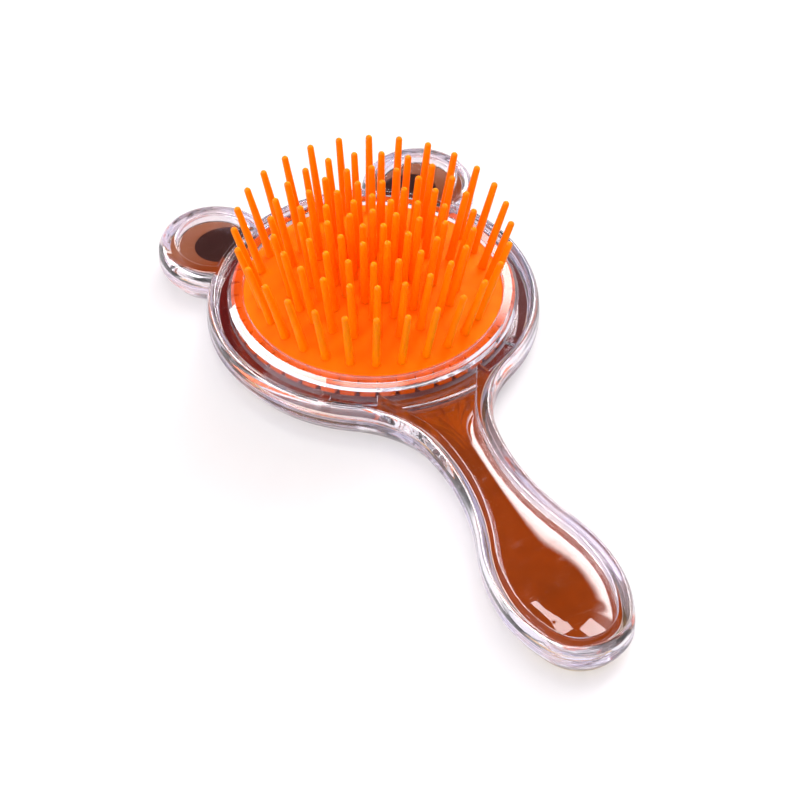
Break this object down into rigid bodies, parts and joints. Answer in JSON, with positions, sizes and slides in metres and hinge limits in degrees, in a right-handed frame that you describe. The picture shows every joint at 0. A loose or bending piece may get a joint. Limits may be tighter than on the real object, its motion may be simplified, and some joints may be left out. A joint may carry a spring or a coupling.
{
  "type": "cushion hairbrush with mirror",
  "caption": "Small cushion hairbrush with a clear round-eared housing, a printed card inside, pins in a domed rubber pad and a round mirror on the back.",
  "frame": {"origin": "middle of the brush's box, on the flat face it rests on", "axes": "+Z out of the cushion along the middle pin, +Y from the handle towards the ears, +X to the right seen from the handle with the pins up"},
  "size_m": [0.0788, 0.1671, 0.0355],
  "materials": {
    "clear_plastic": "clear, polished",
    "cushion_rubber": "satin",
    "pin_plastic": "satin",
    "retainer_plastic": "dark red-brown, moulded",
    "printed_card": "printed, brown",
    "liner_paper": "uncoated, pale yellow",
    "mirror": "silvered, bevelled edge",
    "foam_tape": "foam"
  },
  "bodies": {
    "housing": {"front_shell": "clear_plastic", "back_shell": "clear_plastic", "cushion_pad": "cushion_rubber", "pad_retainer": "retainer_plastic", "printed_card": "printed_card", "back_liner": "liner_paper", "mirror_glass": "mirror", "mirror_tape": "foam_tape"},
    "outer_pins": {"outer_pin_row": "pin_plastic"},
    "second_pins": {"second_pin_row": "pin_plastic"},
    "third_pins": {"third_pin_row": "pin_plastic"},
    "fourth_pins": {"fourth_pin_row": "pin_plastic"},
    "inner_pins": {"inner_pin_row": "pin_plastic"},
    "middle_pin": {"centre_pin": "pin_plastic"}
  },
  "joints": [
    {"name": "cushion_press", "type": "slide", "parent": "housing", "child": "middle_pin", "axis": [0, 0, -1], "range_m": [0, 0.002], "stiffness_N_per_m": 2500, "deforming": ["cushion_pad"]},
    {"name": "inner_row_sink", "type": "slide", "parent": "housing", "child": "inner_pins", "axis": [0, 0, -1], "range_m": [0, 0.00196]},
    {"name": "fourth_row_sink", "type": "slide", "parent": "housing", "child": "fourth_pins", "axis": [0, 0, -1], "range_m": [0, 0.00183]},
    {"name": "third_row_sink", "type": "slide", "parent": "housing", "child": "third_pins", "axis": [0, 0, -1], "range_m": [0, 0.00159]},
    {"name": "second_row_sink", "type": "slide", "parent": "housing", "child": "second_pins", "axis": [0, 0, -1], "range_m": [0, 0.0012]},
    {"name": "outer_row_sink", "type": "slide", "parent": "housing", "child": "outer_pins", "axis": [0, 0, -1], "range_m": [0, 0.00048]}
  ],
  "couplings": [
    {"joint": "inner_row_sink", "follows": "cushion_press", "ratio": 0.98},
    {"joint": "fourth_row_sink", "follows": "cushion_press", "ratio": 0.915},
    {"joint": "third_row_sink", "follows": "cushion_press", "ratio": 0.795},
    {"joint": "second_row_sink", "follows": "cushion_press", "ratio": 0.6},
    {"joint": "outer_row_sink", "follows": "cushion_press", "ratio": 0.24}
  ]
}
